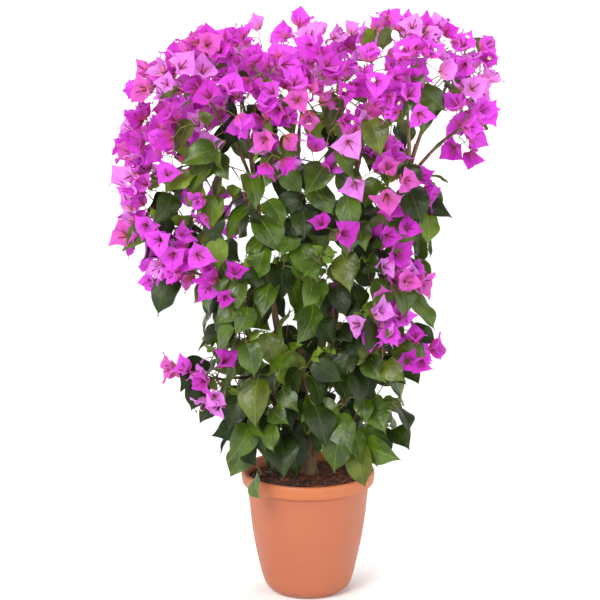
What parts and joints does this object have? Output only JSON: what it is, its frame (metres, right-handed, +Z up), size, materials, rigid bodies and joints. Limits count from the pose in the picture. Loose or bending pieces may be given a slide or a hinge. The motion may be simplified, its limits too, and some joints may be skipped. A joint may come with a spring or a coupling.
{
  "type": "potted bougainvillea bush",
  "caption": "Bougainvillea bush in a round clay-coloured pot: short trunk, fan of stems, drooping green leaves below and a dense crown of magenta papery blossom above.",
  "frame": {"origin": "middle of the pot's flat underside", "axes": "+Z up, +X to the right as the picture shows the bush, -Y towards the viewer (the front); the fan of stems lies along X"},
  "size_m": [0.6551, 0.3844, 1.0271],
  "materials": {
    "pot": "satin",
    "soil": "matte",
    "bark": "matte",
    "leaf": "satin",
    "blossom": "matte"
  },
  "bodies": {
    "root": {"pot": "pot", "soil": "soil", "trunk": "bark", "stem_far_left": "bark", "stem_left": "bark", "stem_middle": "bark", "stem_right": "bark", "stem_far_right": "bark", "bough_cascade_lower": "bark", "bough_cascade_middle": "bark", "bough_cascade_upper": "bark", "bough_left_end": "bark", "bough_front_outer_left": "bark", "bough_front_inner_left": "bark", "bough_back_left": "bark", "bough_back_middle": "bark", "bough_front_inner_right": "bark", "bough_back_right": "bark", "bough_front_outer_right": "bark", "bough_right_end": "bark", "bough_right_tip": "bark", "bough_middle_right": "bark", "bough_low_right": "bark", "bough_low_left": "bark", "bough_skirt_left": "bark", "bough_skirt_right": "bark", "blossom_left_end": "blossom", "blossom_front_outer_left": "blossom", "blossom_front_inner_left": "blossom", "blossom_front_inner_right": "blossom", "blossom_front_outer_right": "blossom", "blossom_back_left": "blossom", "blossom_back_middle": "blossom", "blossom_back_right": "blossom", "blossom_right_end": "blossom", "blossom_right_tip": "blossom", "shoulder_left": "leaf", "shoulder_middle": "leaf", "shoulder_right": "leaf", "cascade_upper": "blossom", "cascade_middle": "blossom", "cascade_lower": "blossom", "leaves_high_left": "leaf", "leaves_high_middle": "leaf", "leaves_high_right": "leaf", "spray_high_right": "blossom", "leaves_middle_left": "leaf", "leaves_middle_right": "leaf", "spray_middle_right": "blossom", "leaves_low_left": "leaf", "leaves_low_middle": "leaf", "leaves_low_right": "leaf", "spray_low_right": "blossom", "spray_low_left": "blossom", "leaves_foot_left": "leaf", "leaves_foot_right": "leaf", "skirt_left": "leaf", "skirt_right": "leaf"}
  },
  "joints": []
}
